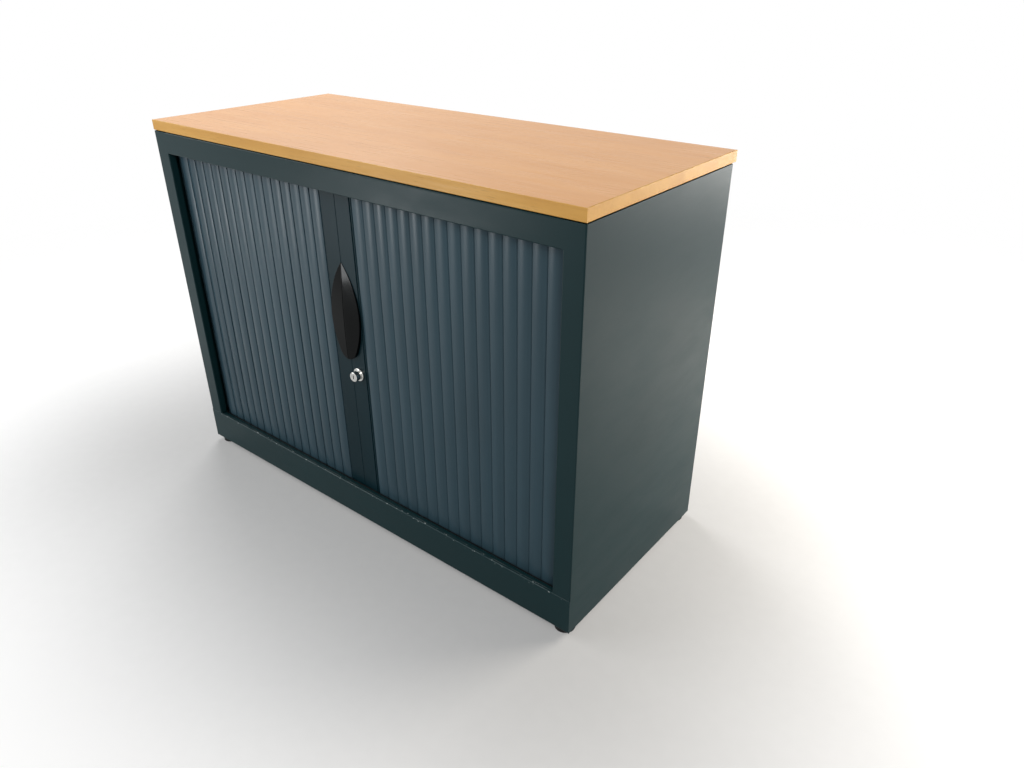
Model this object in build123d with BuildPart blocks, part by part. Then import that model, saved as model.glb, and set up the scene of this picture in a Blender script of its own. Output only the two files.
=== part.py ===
"""Low roll front cabinet: a folded steel case with a wooden top board and two slatted doors.

Each door is a curtain of upright slats that runs in tracks along the front, round the front
corner and back along the side. Frame: X to the right, Y to the back, Z up, millimetres, with
the origin on the floor under the middle of the top board.
"""
from build123d import *
from math import atan2, cos, degrees, floor, pi, radians, sin, sqrt
import os

os.makedirs("parts", exist_ok=True)

# ---------------------------------------------------------------- driving dimensions
# Outside of the cabinet
cabinet_width = 1000.0
cabinet_depth = 432.0  # over the top board
cabinet_height = 722.0
board_thickness = 19.0
edging_thickness = 2.0
edging_radius = 1.2
edging_joint = 0.1  # hairline between two strips at a corner of the board
rear_overhang = 9.0  # the board past the steel case

# Steel case
sheet = 1.0
fold_radius = 1.5  # of the middle of the sheet at a fold
top_plate_thickness = 1.5
top_plate_inset = 4.0
foot_lift = 12.0  # steel above the floor
upright_width = 35.0
upright_return = 14.0
rear_flange = 20.0
top_rail_height = 40.0
top_rail_flange = 20.0
plinth_height = 69.0
plinth_foot_flange = 15.0
plinth_lip = 8.0
plinth_seam = 0.3
deck_flange = 30.0
floor_drop = 1.0  # inner floor below the top of the plinth

# Slats and laths
slat_pitch = 26.0
slat_rise = 4.6  # crown of a slat in front of its hinge line
slat_wall = 2.0
bead_radius = 1.6
bead_neck = 1.4
socket_wall = 1.2
socket_play = 0.3
socket_open_from = -75.0  # the mouth of the socket, in degrees
socket_open_to = 30.0
hinge_gap = 0.4  # between a socket and the next slat's wall
lath_width = 37.0
lath_thickness = 8.4
lath_wall = 1.5
lath_edge = 0.8
seam_gap = 0.4  # between the two laths when the doors are shut
corner_slats = 2  # slats that span a quarter turn
tail_slats = 2  # slats past the corner when the door is shut
door_end_margin = 11.0  # the lath stops this far before the bend

# Tracks
run_depth = 20.0  # hinge line of the doors behind the front face
rear_run_gap = 13.0  # hinge line of the back run in front of the case's rear
least_side_gap = 12.0  # hinge line of the side run inside the case's side, at least
groove_width = 12.0
groove_depth = 10.0
track_wall = 1.5
track_base = 2.0
track_gap = 0.3  # between the ledges and the tracks
track_end_wall = 3.0
track_end_play = 6.0
running_gap = 0.3  # under the slats
top_play = 2.0  # over the slats

# Inner lining and shelf
liner_gap = 3.5  # between the side tracks and the lining
liner_front_gap = 8.0  # the lining starts this far before the end of the front bend
liner_front_return = 10.0
slot_width = 13.0
slot_height = 3.0
slot_pitch = 32.0
slot_count = 14
slot_first = 95.0  # lowest slot above the inner floor
slot_column_inset = 45.0
shelf_slot = 6  # counted from 0
shelf_height = 25.0
shelf_side_play = 1.0
shelf_end_play = 4.0
clip_width = 12.4
clip_thickness = 2.4
clip_reach = 14.0
clip_leg = 12.0
clip_tongue = 2.5

# Glides
glide_inset = 22.0
glide_radius = 18.0
glide_height = 10.0
glide_edge = 1.5
stem_radius = 4.0
stem_length = 35.0
stem_play = 0.08
bracket_size = 50.0
bracket_wall = 2.0
bracket_underside = 20.0
weld_nut_radius = 8.0
weld_nut_height = 8.0

# Handle, in two halves
handle_centre_height = 450.0
handle_length = 180.0
handle_half_width = 36.0
handle_end_radius = 22.0
handle_rise = 6.5
handle_rim = 3.4
handle_lean = 2.8
handle_screw_spread = 60.0
handle_screw_inset = 12.0
handle_screw_bite = 2.6

# Push lock
lock_below_grip = 28.0  # its axis below the handle's lower tip
lock_flange_radius = 12.5
lock_flange_thickness = 4.0
lock_sleeve_radius = 11.0
lock_sleeve_tail = 5.3  # behind the lath
lock_hole_play = 0.2
lock_nut_flats = 27.0
lock_nut_thickness = 3.5
plunger_radius = 9.0
plunger_play = 0.1
plunger_reach = 15.5  # in front of the lath when the doors are unlocked
plunger_stop_gap = 1.0  # between the pushed plunger's back and the keeper
lock_travel = 10.0
bolt_radius = 4.0
bolt_gap = 0.5  # between the bolt's tip and the keeper when unlocked
bolt_hole_play = 0.5
plug_radius = 5.5
plug_play = 0.08
plug_recess = 0.3
plug_length = 13.0
keyway_width = 2.2
keyway_height = 7.5
keyway_depth = 9.0
keeper_thickness = 2.0
keeper_height = 24.0
keeper_standoff = 6.8  # of its hooked end behind the laths
keeper_past_lock = 12.5
keeper_foot_edge = 33.0
keeper_joggle_from = 6.0
keeper_joggle_to = 1.0
keeper_screw_inset = 20.0
keeper_screw_spread = 12.0

# Screws
screw_radius = 2.0
screw_play = 0.2
screw_head_radius = 3.8
screw_head_height = 2.0
board_screw_length = 15.0
board_screw_inset_x = 80.0
board_screw_inset_y = 60.0
access_hole_radius = 7.0
back_screw_length = 8.0
back_screw_inset = 12.0
back_row_x = 250.0
small_screw_radius = 1.5

# ---------------------------------------------------------------- places worked out from them
half_width = cabinet_width / 2
front = -cabinet_depth / 2
rear = cabinet_depth / 2 - rear_overhang
board_bottom = cabinet_height - board_thickness
steel_top = board_bottom - top_plate_thickness
rail_bottom = steel_top - top_rail_height
plinth_top = foot_lift + plinth_height
opening_middle = (rail_bottom + plinth_top) / 2
half_sheet = sheet / 2
inner_rear = rear - 2 * sheet

track_height = track_base + groove_depth
track_width = groove_width + 2 * track_wall
deck_top = plinth_top - track_height
ceiling = rail_bottom + track_height
floor_top = plinth_top - floor_drop
ledge_depth = run_depth - track_width / 2 - track_gap
slat_bottom = deck_top + track_base + running_gap
slat_top = ceiling - track_base - top_play
slat_length = slat_top - slat_bottom

# The hinge line of the right door: along the front, round the corner, back along the side
corner_step = 90.0 / corner_slats
bend_radius = slat_pitch / (2 * sin(radians(corner_step / 2)))
flat_slats = floor((half_width - lath_width - bend_radius - least_side_gap) / slat_pitch)
front_run = front + run_depth
bend_x = lath_width + flat_slats * slat_pitch
side_run = bend_x + bend_radius
front_bend_end = front_run + bend_radius
rear_run = rear - rear_run_gap
rear_bend_start = rear_run - bend_radius
door_travel = flat_slats * slat_pitch - door_end_margin
side_length = rear_bend_start - front_bend_end
tail_reach = door_travel + tail_slats * slat_pitch - side_length - pi / 2 * bend_radius
back_run_length = max(tail_reach, 0) + track_end_play + track_end_wall

lath_front = front_run - lath_thickness / 2
lath_back = front_run + lath_thickness / 2
socket_inner = bead_radius + socket_play
socket_outer = socket_inner + socket_wall

liner_x = side_run - track_width / 2 - liner_gap - half_sheet  # middle of the lining's sheet
liner_front = front_bend_end - liner_front_gap
liner_fold = rear_bend_start + liner_front_gap
inner_back = rear_run - track_width / 2 - 2 * liner_gap / 3 - half_sheet
opening_half = half_width - upright_width

shelf_front = liner_front + half_sheet + shelf_end_play
shelf_rear = liner_fold - shelf_end_play
shelf_underside = floor_top + slot_first + shelf_slot * slot_pitch + clip_thickness / 2
slot_front = shelf_front + slot_column_inset
slot_rear = shelf_rear - slot_column_inset

lock_x = lath_width / 2
lock_height = handle_centre_height - handle_length / 2 - lock_below_grip
lock_front = lath_front - plunger_reach
keeper_front = lath_back + keeper_standoff
bolt_tip = keeper_front - bolt_gap
plunger_length = keeper_front - plunger_stop_gap - lock_travel - lock_front
side_screw_heights = (foot_lift + 60.0, opening_middle, rail_bottom)
deck_screw_height = deck_top - deck_flange / 2
ceiling_screw_height = (ceiling + steel_top) / 2

MIDDLE = Plane.XY.offset(opening_middle)


def folded_section(*points):
    """A folded sheet's section, from the middle of the sheet, corner by corner."""
    with BuildLine(mode=Mode.PRIVATE) as section:
        FilletPolyline(*points, radius=fold_radius)
    trace(section.edges(), line_width=sheet)


# ---------------------------------------------------------------- top board
board_screw_spots = GridLocations(
    cabinet_width - 2 * board_screw_inset_x, cabinet_depth - 2 * board_screw_inset_y, 2, 2
)

with BuildPart() as top_board:
    with BuildSketch(Plane.XY.offset(board_bottom)):
        Rectangle(cabinet_width - 2 * edging_thickness, cabinet_depth - 2 * edging_thickness)
    extrude(amount=board_thickness)
    with BuildSketch(Plane.XY.offset(board_bottom)):
        with board_screw_spots:
            Circle(screw_radius + screw_play)
    extrude(amount=board_screw_length - top_plate_thickness + screw_play, mode=Mode.SUBTRACT)

with BuildPart() as board_edging:
    with BuildSketch(Plane.XY.offset(board_bottom)):
        with GridLocations(0, cabinet_depth - edging_thickness, 1, 2):
            Rectangle(cabinet_width, edging_thickness)
        with GridLocations(cabinet_width - edging_thickness, 0, 2, 1):
            Rectangle(edging_thickness, cabinet_depth - 2 * (edging_thickness + edging_joint))
    extrude(amount=board_thickness)
    long_edges = board_edging.edges().filter_by(Axis.Z, reverse=True)
    front_and_rear = long_edges.filter_by(Axis.X).group_by(Axis.Y)
    sides = long_edges.filter_by(Axis.Y).group_by(Axis.X)
    outer_edges = front_and_rear[0] + front_and_rear[-1] + sides[0] + sides[-1]
    fillet(outer_edges.filter_by(lambda edge: edge.length > 2 * edging_thickness), edging_radius)

# ---------------------------------------------------------------- steel case
upright_foot = plinth_top + plinth_seam

with BuildPart() as right_side_panel:
    with BuildSketch(Plane.XY.offset(upright_foot)):
        folded_section(
            (opening_half + half_sheet, front + upright_return),
            (opening_half + half_sheet, front + half_sheet),
            (half_width - half_sheet, front + half_sheet),
            (half_width - half_sheet, inner_rear + half_sheet),
            (half_width - rear_flange, inner_rear + half_sheet),
        )
    extrude(amount=rail_bottom - upright_foot)
    with BuildSketch(Plane.XY.offset(rail_bottom)):
        folded_section(
            (opening_half, front + half_sheet),
            (half_width - half_sheet, front + half_sheet),
            (half_width - half_sheet, inner_rear + half_sheet),
            (half_width - rear_flange, inner_rear + half_sheet),
        )
    extrude(amount=top_rail_height)
    with BuildSketch(Plane.XY.offset(foot_lift)):
        folded_section(
            (half_width - half_sheet, front),
            (half_width - half_sheet, inner_rear + half_sheet),
            (half_width - rear_flange, inner_rear + half_sheet),
        )
    extrude(amount=upright_foot - foot_lift)
    with BuildSketch(Plane.XZ.offset(-rear)):
        with Locations([(half_width - back_screw_inset, z) for z in side_screw_heights]):
            Circle(screw_radius + screw_play)
    extrude(amount=rear_overhang, mode=Mode.SUBTRACT)

with BuildPart() as left_side_panel:
    mirror(right_side_panel.part, about=Plane.YZ)

with BuildPart() as top_rail:
    with BuildSketch(Plane.YZ.offset(-opening_half)):
        folded_section(
            (front + ledge_depth, rail_bottom + half_sheet),
            (front + half_sheet, rail_bottom + half_sheet),
            (front + half_sheet, steel_top - half_sheet),
            (front + top_rail_flange, steel_top - half_sheet),
        )
    extrude(amount=2 * opening_half)

with BuildPart() as plinth:
    with BuildSketch(Plane.YZ.offset(sheet - half_width)):
        folded_section(
            (front + plinth_foot_flange, foot_lift + half_sheet),
            (front + half_sheet, foot_lift + half_sheet),
            (front + half_sheet, plinth_top - half_sheet),
            (front + ledge_depth - half_sheet, plinth_top - half_sheet),
            (front + ledge_depth - half_sheet, plinth_top - plinth_lip),
        )
    extrude(amount=cabinet_width - 2 * sheet)

back_screw_spots = [
    (side * (half_width - back_screw_inset), z) for side in (-1, 1) for z in side_screw_heights
] + [
    (side * back_row_x, z) for side in (-1, 1) for z in (deck_screw_height, ceiling_screw_height)
]

with BuildPart() as back_panel:
    with BuildSketch(Plane.XZ.offset(-rear)):
        with Locations((0, (foot_lift + steel_top) / 2)):
            RectangleRounded(cabinet_width - 4 * sheet, steel_top - foot_lift, 2 * sheet)
        with Locations(back_screw_spots):
            Circle(screw_radius + screw_play, mode=Mode.SUBTRACT)
    extrude(amount=sheet)

with BuildPart() as top_plate:
    plate_middle = (front + rear) / 2
    with BuildSketch(Plane.XY.offset(steel_top)):
        with Locations((0, plate_middle)):
            RectangleRounded(
                cabinet_width - 2 * top_plate_inset,
                rear - front - 2 * top_plate_inset,
                top_plate_inset,
            )
        with board_screw_spots:
            Circle(screw_radius + screw_play, mode=Mode.SUBTRACT)
    extrude(amount=top_plate_thickness)

deck_middle = (front + sheet + inner_rear) / 2
deck_width = cabinet_width - 2 * sheet
deck_depth = inner_rear - front - sheet

with BuildPart() as base_deck:
    with BuildSketch(Plane.XY.offset(deck_top)):
        with Locations((0, deck_middle)):
            RectangleRounded(deck_width, deck_depth, fold_radius)
    extrude(amount=-deck_flange)
    offset(amount=-sheet, openings=base_deck.faces().sort_by(Axis.Z)[0])
    with BuildSketch(Plane.XZ.offset(-rear)):
        with Locations((-back_row_x, deck_screw_height), (back_row_x, deck_screw_height)):
            Circle(screw_radius + screw_play)
    extrude(amount=rear_overhang, mode=Mode.SUBTRACT)

with BuildPart() as ceiling_deck:
    with BuildSketch(Plane.XY.offset(ceiling)):
        with Locations((0, deck_middle)):
            RectangleRounded(deck_width, deck_depth, fold_radius)
    extrude(amount=steel_top - 2 * sheet - ceiling)
    offset(amount=-sheet, openings=ceiling_deck.faces().sort_by(Axis.Z)[-1])
    with BuildSketch(Plane.XY.offset(ceiling)):
        with board_screw_spots:
            Circle(access_hole_radius)
    extrude(amount=sheet, mode=Mode.SUBTRACT)
    with BuildSketch(Plane.XZ.offset(-rear)):
        with Locations((-back_row_x, ceiling_screw_height), (back_row_x, ceiling_screw_height)):
            Circle(screw_radius + screw_play)
    extrude(amount=rear_overhang, mode=Mode.SUBTRACT)

# ---------------------------------------------------------------- inner lining
pan_half = liner_x + half_sheet
pan_front = front_run + track_width / 2 + track_gap
pan_rear = inner_back + half_sheet

with BuildPart() as floor_pan:
    with BuildSketch(Plane.XY.offset(deck_top)):
        with Locations((0, (pan_front + pan_rear) / 2)):
            RectangleRounded(2 * pan_half, pan_rear - pan_front, pan_half - bend_x)
    extrude(amount=floor_top - deck_top)
    offset(amount=-sheet, openings=floor_pan.faces().sort_by(Axis.Z)[0])

with BuildPart() as right_liner:
    with BuildSketch(Plane.XY.offset(floor_top)):
        folded_section(
            (liner_x - liner_front_return, liner_front),
            (liner_x, liner_front),
            (liner_x, liner_fold),
            (liner_x - (inner_back - liner_fold), inner_back),
        )
    extrude(amount=ceiling - floor_top)
    slot_middle = floor_top + slot_first + (slot_count - 1) * slot_pitch / 2
    with BuildSketch(Plane.YZ.offset(liner_x - half_sheet)):
        with Locations(((slot_front + slot_rear) / 2, slot_middle)):
            with GridLocations(slot_rear - slot_front, slot_pitch, 2, slot_count):
                Rectangle(slot_width, slot_height)
    extrude(amount=sheet, mode=Mode.SUBTRACT)

with BuildPart() as left_liner:
    mirror(right_liner.part, about=Plane.YZ)

inner_back_half = liner_x - (inner_back - liner_fold) - sheet

with BuildPart() as inner_back_panel:
    with BuildSketch(Plane.XZ.offset(-inner_back - half_sheet)):
        with Locations((0, (floor_top + ceiling) / 2)):
            Rectangle(2 * inner_back_half, ceiling - floor_top)
    extrude(amount=sheet)

with BuildPart() as shelf:
    with BuildSketch(Plane.XY.offset(shelf_underside)):
        with Locations((0, (shelf_front + shelf_rear) / 2)):
            Rectangle(2 * (liner_x - half_sheet - shelf_side_play), shelf_rear - shelf_front)
    extrude(amount=shelf_height)
    offset(amount=-sheet, openings=shelf.faces().sort_by(Axis.Z)[0])

with BuildPart() as shelf_clips:
    for slot_y in (slot_front, slot_rear):
        with BuildSketch(Plane.XZ.offset(-slot_y - clip_width / 2)):
            with BuildLine():
                inner_face = liner_x - half_sheet
                Polyline(
                    (inner_face - clip_reach, shelf_underside),
                    (liner_x + half_sheet + clip_tongue, shelf_underside),
                    (liner_x + half_sheet + clip_tongue, shelf_underside - clip_thickness),
                    (inner_face, shelf_underside - clip_thickness),
                    (inner_face, shelf_underside - clip_leg),
                    (inner_face - clip_thickness, shelf_underside - clip_leg),
                    (inner_face - clip_thickness, shelf_underside - clip_thickness),
                    (inner_face - clip_reach, shelf_underside - clip_thickness),
                    close=True,
                )
            make_face()
        extrude(amount=clip_width)
    mirror(about=Plane.YZ)


# ---------------------------------------------------------------- tracks
def track(path, groove_path):
    """A channel along path, open at the top, standing on the base deck at the right."""
    with BuildPart(mode=Mode.PRIVATE) as channel:
        with BuildSketch(Plane.XY.offset(deck_top)):
            trace(path, line_width=track_width)
        extrude(amount=track_height)
        with BuildSketch(Plane.XY.offset(deck_top + track_base)):
            trace(groove_path, line_width=groove_width)
        extrude(amount=groove_depth, mode=Mode.SUBTRACT)
    return channel.part


def at_all_four_places(channel):
    """Add a track of the lower right, its mirror image above, and both at the left."""
    add(channel)
    mirror(about=MIDDLE)
    mirror(about=Plane.YZ)


front_line = Line((seam_gap / 2, front_run), (bend_x, front_run))
front_bend = CenterArc((bend_x, front_bend_end), bend_radius, -90, 90)
side_line = Line((side_run, front_bend_end), (side_run, rear_bend_start))
rear_bend = CenterArc((bend_x, rear_bend_start), bend_radius, 0, 90)
rear_line = Line((bend_x, rear_run), (bend_x - back_run_length, rear_run))
rear_groove = Line((bend_x, rear_run), (bend_x - back_run_length + track_end_wall, rear_run))

with BuildPart() as front_tracks:
    at_all_four_places(track([front_line], [front_line]))

with BuildPart() as front_corner_guides:
    at_all_four_places(track([front_bend], [front_bend]))

with BuildPart() as side_tracks:
    at_all_four_places(track([side_line], [side_line]))

with BuildPart() as rear_corner_guides:
    at_all_four_places(track([rear_bend, rear_line], [rear_bend, rear_groove]))

# ---------------------------------------------------------------- slatted curtains
# One slat lies along X from its bead at the origin to its socket one pitch away, with its
# crowned face towards -Y
wall_start = socket_outer + hinge_gap

with BuildPart() as slat:
    with BuildSketch(Plane.XY.offset(slat_bottom)):
        with BuildLine():
            crown = ThreePointArc(
                (wall_start, -socket_outer),
                (slat_pitch / 2, -slat_rise),
                (slat_pitch, -socket_outer),
            )
            hollow = ThreePointArc(
                (slat_pitch - bead_radius, slat_wall - socket_outer),
                (slat_pitch / 2, slat_wall - slat_rise),
                (wall_start + slat_wall, slat_wall - socket_outer),
            )
            Line(crown @ 1, hollow @ 0)
            Polyline(hollow @ 1, (wall_start + slat_wall, bead_neck / 2))
            Polyline((wall_start + slat_wall, bead_neck / 2), (wall_start, bead_neck / 2), crown @ 0)
        make_face()
        with Locations((0, 0), (slat_pitch, 0)):
            Circle(socket_outer)
        Circle(socket_outer, mode=Mode.SUBTRACT)
        Circle(bead_radius)
        with Locations(((wall_start + slat_wall) / 2, 0)):
            Rectangle(wall_start + slat_wall, bead_neck)
        with Locations((slat_pitch, 0)):
            Circle(socket_inner, mode=Mode.SUBTRACT)
        with BuildLine():
            mouth_reach = 2 * socket_outer
            Polyline(
                (slat_pitch, 0),
                (
                    slat_pitch + mouth_reach * cos(radians(socket_open_to)),
                    -mouth_reach * sin(radians(socket_open_to)),
                ),
                (slat_pitch + 2 * mouth_reach, 0),
                (
                    slat_pitch + mouth_reach * cos(radians(socket_open_from)),
                    -mouth_reach * sin(radians(socket_open_from)),
                ),
                close=True,
            )
        make_face(mode=Mode.SUBTRACT)
    extrude(amount=slat_length)

# The curtain is the slats across the front. The tail is those round the corner and behind it
tail_places = []
for n in range(corner_slats):
    turned = n * corner_step
    tail_places.append(
        Location(
            (
                bend_x + bend_radius * sin(radians(turned)),
                front_bend_end - bend_radius * cos(radians(turned)),
                0,
            ),
            (0, 0, turned + corner_step / 2),
        )
    )
for n in range(tail_slats):
    tail_places.append(Location((side_run, front_bend_end + n * slat_pitch, 0), (0, 0, 90)))

with BuildPart() as right_curtain:
    with Locations([(lath_width + n * slat_pitch, front_run) for n in range(flat_slats)]):
        add(slat.part)

with BuildPart() as left_curtain:
    mirror(right_curtain.part, about=Plane.YZ)

with BuildPart() as right_curtain_tail:
    with Locations(tail_places):
        add(slat.part)

with BuildPart() as left_curtain_tail:
    mirror(right_curtain_tail.part, about=Plane.YZ)

# ---------------------------------------------------------------- closing laths
handle_screw_heights = (
    handle_centre_height - handle_screw_spread / 2,
    handle_centre_height + handle_screw_spread / 2,
)
keeper_screw_heights = (
    lock_height - keeper_screw_spread / 2,
    lock_height + keeper_screw_spread / 2,
)

with BuildPart() as plain_lath:
    with BuildSketch(Plane.XY.offset(slat_bottom)):
        body_width = lath_width - socket_outer + socket_wall - seam_gap / 2
        with Locations((seam_gap / 2 + body_width / 2, front_run)):
            RectangleRounded(body_width, lath_thickness, lath_edge)
            with Locations((-socket_wall / 2, 0)):
                Rectangle(
                    body_width - 2 * lath_wall - socket_wall,
                    lath_thickness - 2 * lath_wall,
                    mode=Mode.SUBTRACT,
                )
        with Locations((lath_width, front_run)):
            Circle(socket_outer)
            Circle(socket_inner, mode=Mode.SUBTRACT)
            with Locations((socket_outer, 0)):
                Rectangle(2 * socket_outer, bead_neck + 2 * socket_play, mode=Mode.SUBTRACT)
    extrude(amount=slat_length)
    with BuildSketch(Plane.XZ.offset(-lath_back)):
        with Locations([(handle_screw_inset, z) for z in handle_screw_heights]):
            Circle(small_screw_radius + screw_play)
    extrude(amount=lath_thickness, mode=Mode.SUBTRACT)

with BuildPart() as right_lath:
    add(plain_lath.part)
    with BuildSketch(Plane.XZ.offset(-lath_back)):
        with Locations((lock_x, lock_height)):
            Circle(lock_sleeve_radius + lock_hole_play)
    extrude(amount=lath_thickness, mode=Mode.SUBTRACT)

with BuildPart() as left_lath:
    mirror(plain_lath.part, about=Plane.YZ)
    with BuildSketch(Plane.XZ.offset(-lath_back)):
        with Locations([(-keeper_screw_inset, z) for z in keeper_screw_heights]):
            Circle(small_screw_radius + screw_play)
    extrude(amount=lath_wall, mode=Mode.SUBTRACT)

# ---------------------------------------------------------------- handle
# From the front, two arcs meet in a point at the top and run into a round lower end. The
# face falls evenly from the meeting line of the doors to the outer arc, and leans out
# towards the lower end
handle_top = handle_centre_height + handle_length / 2
handle_bottom = handle_centre_height - handle_length / 2
handle_edge = seam_gap / 2
end_margin = handle_half_width - handle_end_radius
end_ratio = handle_end_radius / end_margin
end_span = handle_length - handle_end_radius
end_reach = (
    sqrt(end_span**2 + end_ratio * (end_span**2 - handle_half_width * handle_end_radius))
    - end_span
) / end_ratio
outline_radius = (end_reach**2 / end_margin + handle_end_radius + handle_half_width) / 2
outline_centre = handle_half_width - outline_radius
widest_height = handle_bottom + handle_end_radius + end_reach
end_scale = outline_radius / (outline_radius - handle_end_radius)
end_start = (outline_centre * (1 - end_scale), widest_height - end_reach * end_scale)
lean_axis = Axis((0, lath_front, handle_centre_height), (1, 0, 0))
lean_angle = degrees(atan2(handle_lean, handle_length / 2))

with BuildPart() as handle_face:
    with BuildSketch(Plane.XY.offset(widest_height)):
        with BuildLine():
            face_fall = handle_rise - handle_rim
            Polyline(
                (-handle_half_width / 4, lath_front + handle_rise),
                (-handle_half_width / 4, lath_front - handle_rise - face_fall / 4),
                (handle_half_width * 5 / 4, lath_front - handle_rim + face_fall / 4),
                (handle_half_width * 5 / 4, lath_front + handle_rise),
                close=True,
            )
        make_face()
    revolve(axis=Axis((outline_centre, 0, widest_height), (0, 1, 0)), revolution_arc=360)

with BuildPart() as right_handle:
    with BuildSketch(Plane.XZ.offset(-lath_front)):
        with BuildLine():
            side_arc = ThreePointArc(
                (0, handle_top), (handle_half_width, widest_height), end_start
            )
            TangentArc(end_start, (0, handle_bottom), tangent=side_arc % 1)
            Line((0, handle_bottom), (0, handle_top))
        make_face()
    extrude(amount=handle_rise + handle_lean)
    add(handle_face.part.rotate(lean_axis, -lean_angle), mode=Mode.INTERSECT)
    split(bisect_by=Plane.YZ.offset(handle_edge), keep=Keep.TOP)
    with BuildSketch(Plane.XZ.offset(-lath_front)):
        with Locations([(handle_screw_inset, z) for z in handle_screw_heights]):
            Circle(small_screw_radius + screw_play)
    extrude(amount=handle_screw_bite + screw_play, mode=Mode.SUBTRACT)

with BuildPart() as left_handle:
    mirror(right_handle.part, about=Plane.YZ)

with BuildPart() as right_handle_screws:
    with BuildSketch(Plane.XZ.offset(-lath_back)):
        with Locations([(handle_screw_inset, z) for z in handle_screw_heights]):
            Circle(small_screw_radius)
    extrude(amount=lath_thickness + handle_screw_bite)
    with BuildSketch(Plane.XZ.offset(-lath_back)):
        with Locations([(handle_screw_inset, z) for z in handle_screw_heights]):
            Circle(screw_head_radius)
    extrude(amount=-screw_head_height)

with BuildPart() as left_handle_screws:
    mirror(right_handle_screws.part, about=Plane.YZ)

# ---------------------------------------------------------------- push lock and keeper
lock_axis_plane = Plane(
    origin=(lock_x, lath_front, lock_height), x_dir=(1, 0, 0), z_dir=(0, -1, 0)
)

with BuildPart() as lock_collar:
    with BuildSketch(lock_axis_plane):
        Circle(lock_flange_radius)
    extrude(amount=lock_flange_thickness)
    rim = lock_collar.faces().sort_by(Axis.Y)[0].edges()
    fillet(rim, lock_flange_thickness / 3)
    with BuildSketch(lock_axis_plane):
        Circle(lock_sleeve_radius)
    extrude(amount=-(lath_thickness + lock_sleeve_tail))
    with BuildSketch(lock_axis_plane.offset(lock_flange_thickness)):
        Circle(plunger_radius + plunger_play)
    extrude(
        amount=-(lock_flange_thickness + lath_thickness + lock_sleeve_tail), mode=Mode.SUBTRACT
    )

with BuildPart() as lock_nut:
    with BuildSketch(lock_axis_plane.offset(-lath_thickness)):
        RegularPolygon(lock_nut_flats / 2, 6, major_radius=False)
        Circle(lock_sleeve_radius + plunger_play, mode=Mode.SUBTRACT)
    extrude(amount=-lock_nut_thickness)

plunger_face = lock_axis_plane.offset(plunger_reach)

with BuildPart() as lock_plunger:
    with BuildSketch(plunger_face):
        Circle(plunger_radius)
    extrude(amount=-plunger_length)
    front_rim = lock_plunger.faces().sort_by(Axis.Y)[0].edges()
    chamfer(front_rim, (plunger_radius - plug_radius) / 5)
    with BuildSketch(plunger_face.offset(-plunger_length)):
        Circle(bolt_radius)
    extrude(amount=-(bolt_tip - lock_front - plunger_length))
    with BuildSketch(plunger_face):
        Circle(plug_radius + plug_play)
    extrude(amount=-(plug_recess + plug_length + plug_play), mode=Mode.SUBTRACT)

with BuildPart() as lock_plug:
    with BuildSketch(plunger_face.offset(-plug_recess)):
        Circle(plug_radius)
    extrude(amount=-plug_length)
    with BuildSketch(plunger_face.offset(-plug_recess)):
        Rectangle(keyway_width, keyway_height)
    extrude(amount=-keyway_depth, mode=Mode.SUBTRACT)

with BuildPart() as keeper:
    with BuildSketch(Plane.XY.offset(lock_height - keeper_height / 2)):
        with BuildLine():
            keeper_middle = keeper_thickness / 2
            FilletPolyline(
                (-keeper_foot_edge, lath_back + keeper_middle),
                (-keeper_joggle_from, lath_back + keeper_middle),
                (-keeper_joggle_to, keeper_front + keeper_middle),
                (lock_x + keeper_past_lock, keeper_front + keeper_middle),
                radius=keeper_thickness,
            )
        trace(line_width=keeper_thickness)
    extrude(amount=keeper_height)
    with BuildSketch(Plane.XZ.offset(-keeper_front - 2 * keeper_thickness)):
        with Locations((lock_x, lock_height)):
            Circle(bolt_radius + bolt_hole_play)
        with Locations([(-keeper_screw_inset, z) for z in keeper_screw_heights]):
            Circle(small_screw_radius + screw_play)
    extrude(amount=keeper_standoff + 2 * keeper_thickness, mode=Mode.SUBTRACT)

with BuildPart() as keeper_screws:
    keeper_face = lath_back + keeper_thickness
    with BuildSketch(Plane.XZ.offset(-keeper_face)):
        with Locations([(-keeper_screw_inset, z) for z in keeper_screw_heights]):
            Circle(small_screw_radius)
    extrude(amount=keeper_thickness + lath_wall + lath_wall)
    with BuildSketch(Plane.XZ.offset(-keeper_face)):
        with Locations([(-keeper_screw_inset, z) for z in keeper_screw_heights]):
            Circle(screw_head_radius)
    extrude(amount=-screw_head_height)

# ---------------------------------------------------------------- feet
glide_x = half_width - glide_inset
glide_front = front + glide_inset
glide_rear = rear - glide_inset
bracket_middle_x = half_width - sheet - bracket_size / 2
bracket_front_y = front + sheet + bracket_size / 2
bracket_rear_y = inner_rear - bracket_size / 2
bracket_height = deck_top - deck_flange - bracket_underside

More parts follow.
